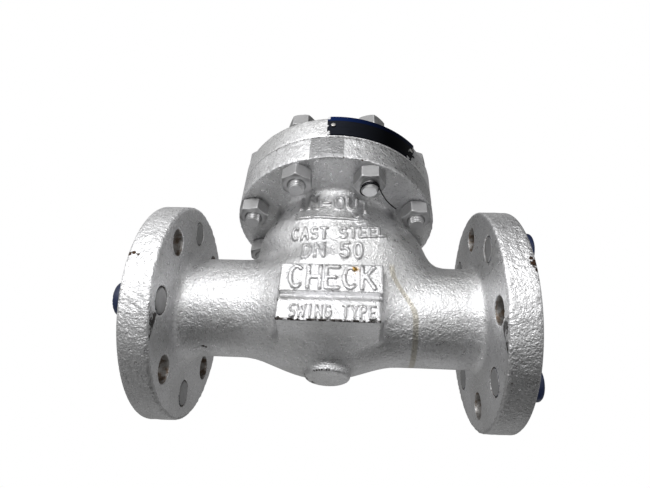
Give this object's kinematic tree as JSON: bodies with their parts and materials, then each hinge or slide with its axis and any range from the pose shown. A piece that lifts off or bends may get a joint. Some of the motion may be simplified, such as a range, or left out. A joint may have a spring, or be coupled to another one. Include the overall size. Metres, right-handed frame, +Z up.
{
  "type": "flanged swing check valve",
  "caption": "Flanged swing check valve with a bolted round cover, a hinged disc that closes against backflow, and push-in plastic flange protectors.",
  "frame": {"origin": "where the flow axis meets the cover's axis, at the middle of the face-to-face length", "axes": "+X along the flow from inlet to outlet, +Z up through the cover, -Y is the side with the raised lettering and the nameplate"},
  "size_m": [0.28, 0.1744, 0.2315],
  "materials": {
    "body_paint": "aluminium paint over a sand-cast surface, with chips and light rust",
    "cover_paint": "aluminium paint over a cast and machined cover",
    "stud_paint": "aluminium paint over threaded steel, thin on the thread crests",
    "nut_paint": "aluminium paint over forged steel",
    "gasket": "graphite filler of a spiral-wound gasket",
    "nameplate_metal": "rolled plate, polished, with a navy band",
    "plain_steel": "plain machined and forged steel",
    "machined_steel": "fine-turned stainless facing",
    "protector_plastic": "moulded navy polyethylene",
    "wire_steel": "dark annealed binding wire"
  },
  "bodies": {
    "valve_body": {"body": "body_paint", "seat_ring": "machined_steel", "cover": "cover_paint", "cover_gasket": "gasket", "cover_stud_1": "stud_paint", "cover_stud_2": "stud_paint", "cover_stud_3": "stud_paint", "cover_stud_4": "stud_paint", "cover_stud_5": "stud_paint", "cover_stud_6": "stud_paint", "cover_stud_7": "stud_paint", "cover_stud_8": "stud_paint", "lower_nut_1": "nut_paint", "lower_nut_2": "nut_paint", "lower_nut_3": "nut_paint", "lower_nut_4": "nut_paint", "lower_nut_5": "nut_paint", "lower_nut_6": "nut_paint", "lower_nut_7": "nut_paint", "lower_nut_8": "nut_paint", "upper_nut_1": "nut_paint", "upper_nut_2": "nut_paint", "upper_nut_3": "nut_paint", "upper_nut_4": "nut_paint", "upper_nut_5": "nut_paint", "upper_nut_6": "nut_paint", "upper_nut_7": "nut_paint", "upper_nut_8": "nut_paint", "nameplate": "nameplate_metal", "nameplate_pin_1": "plain_steel", "nameplate_pin_2": "plain_steel", "hinge_bracket": "plain_steel", "bracket_screw_1": "plain_steel", "bracket_screw_2": "plain_steel", "hinge_pin": "plain_steel", "tag_wire": "wire_steel"},
    "clapper_arm": {"swing_arm": "plain_steel"},
    "clapper_disc": {"disc": "machined_steel", "disc_washer": "plain_steel", "disc_nut": "plain_steel", "split_pin": "plain_steel"},
    "inlet_cap": {"inlet_protector": "protector_plastic"},
    "outlet_cap": {"outlet_protector": "protector_plastic"}
  },
  "joints": [
    {"name": "clapper_swing", "type": "hinge", "parent": "valve_body", "child": "clapper_arm", "pos_m": [-0.01843, 0, 0.04477], "axis": [0, -1, 0], "range_deg": [0, 65]},
    {"name": "disc_turn", "type": "hinge", "parent": "clapper_arm", "child": "clapper_disc", "pos_m": [-0.022, 0, 0], "axis": [0.9925, 0, 0.1219], "continuous": true},
    {"name": "inlet_cap_pull", "type": "slide", "parent": "valve_body", "child": "inlet_cap", "axis": [-1, 0, 0], "range_m": [0, 0.04]},
    {"name": "outlet_cap_pull", "type": "slide", "parent": "valve_body", "child": "outlet_cap", "axis": [1, 0, 0], "range_m": [0, 0.04]}
  ]
}
